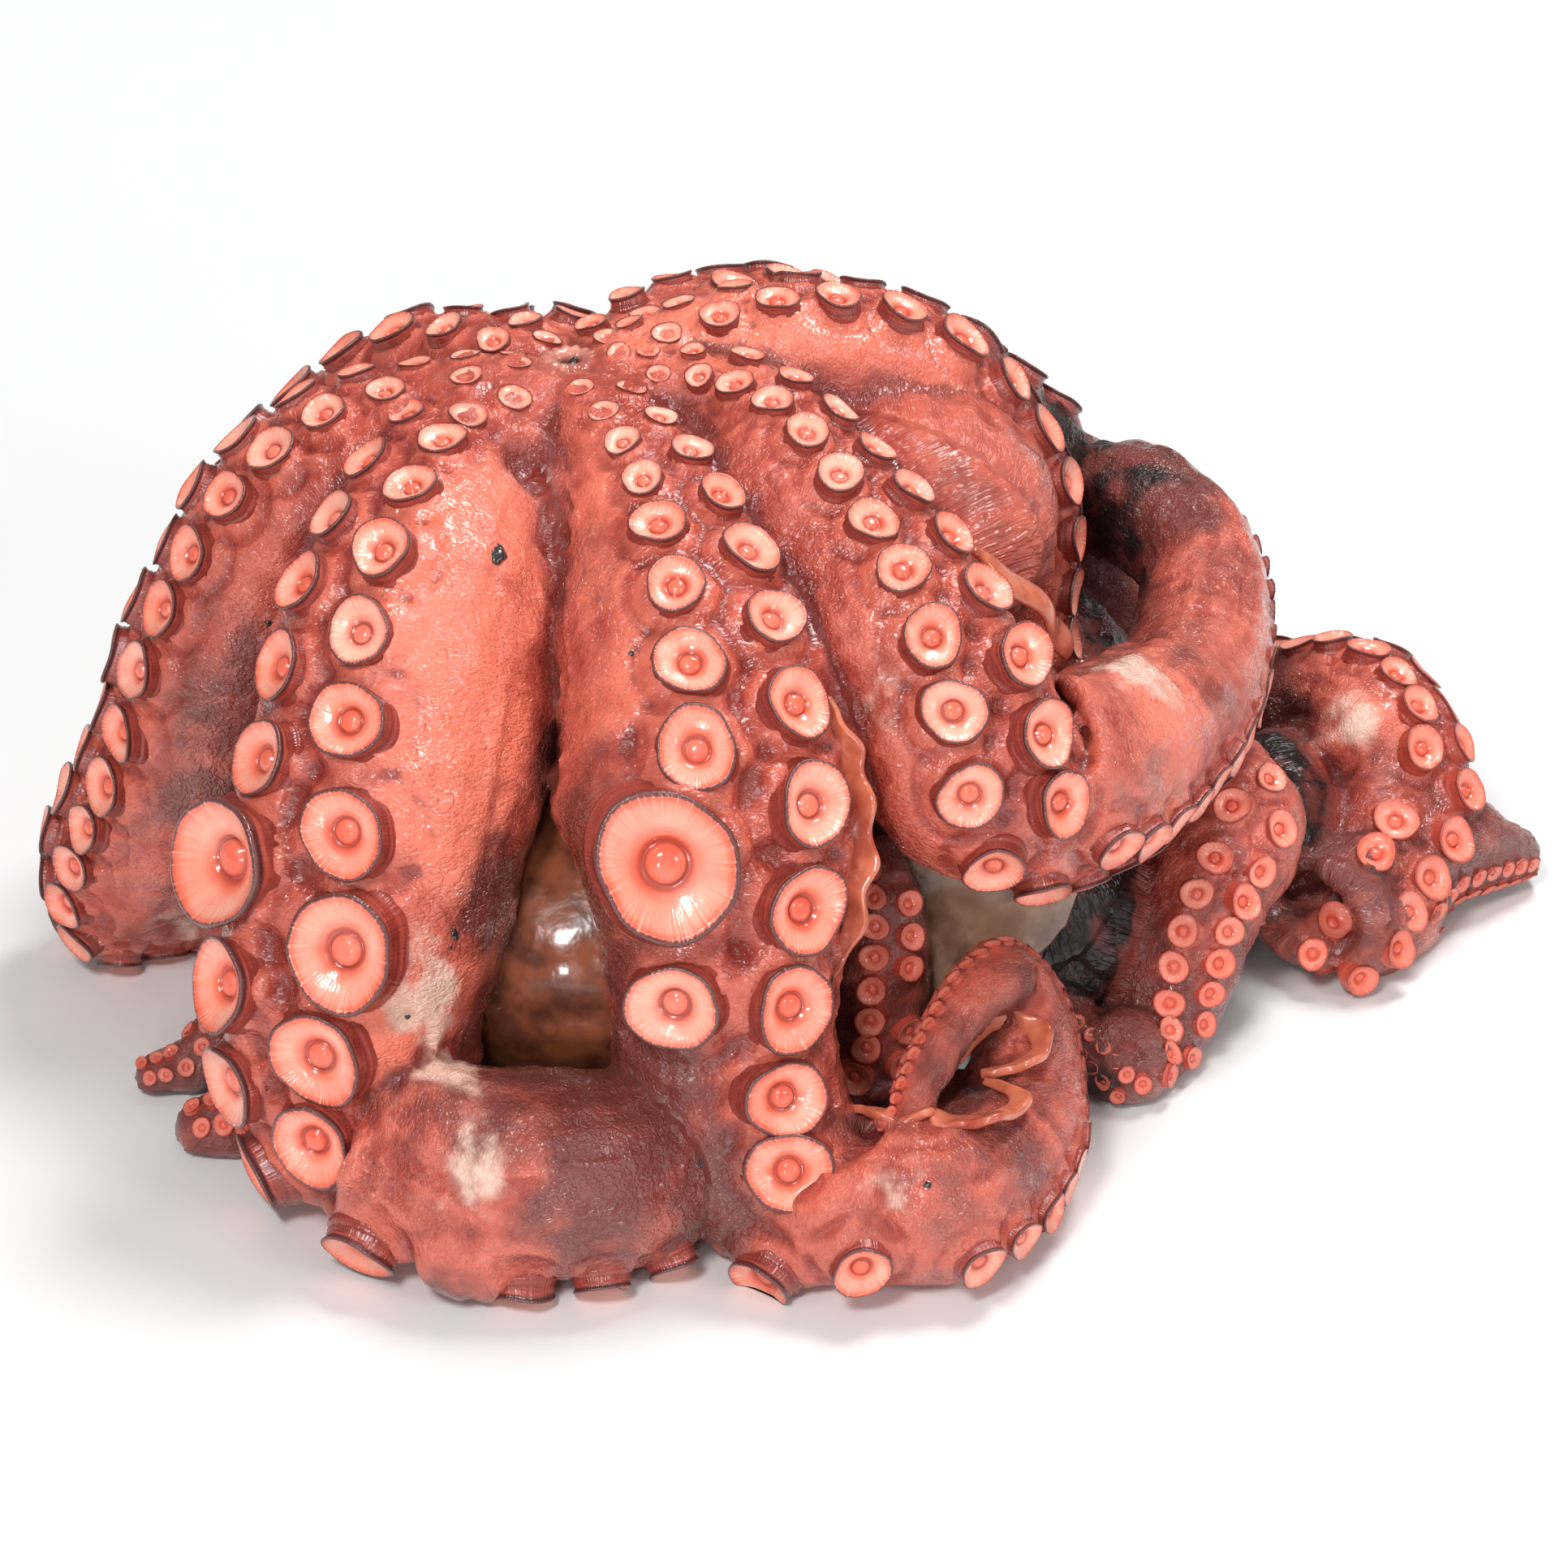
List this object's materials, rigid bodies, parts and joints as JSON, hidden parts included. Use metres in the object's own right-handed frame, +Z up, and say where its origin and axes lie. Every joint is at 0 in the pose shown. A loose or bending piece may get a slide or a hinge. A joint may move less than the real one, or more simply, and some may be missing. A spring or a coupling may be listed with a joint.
{
  "type": "cooked octopus",
  "caption": "Whole boiled octopus resting mouth upward, its sucker-lined arms draped over the head and curled at their tips.",
  "frame": {"origin": "on the resting plane, under the middle of the outline", "axes": "+Z up towards the mouth, +X along the longest spread towards the right-hand arm tip, -Y towards the front arms"},
  "size_m": [0.3436, 0.24, 0.1572],
  "materials": {
    "flesh": "wet boiled skin, salmon to dark red-brown, with peach suckers"
  },
  "bodies": {
    "root": {"octopus": "flesh"}
  },
  "joints": []
}
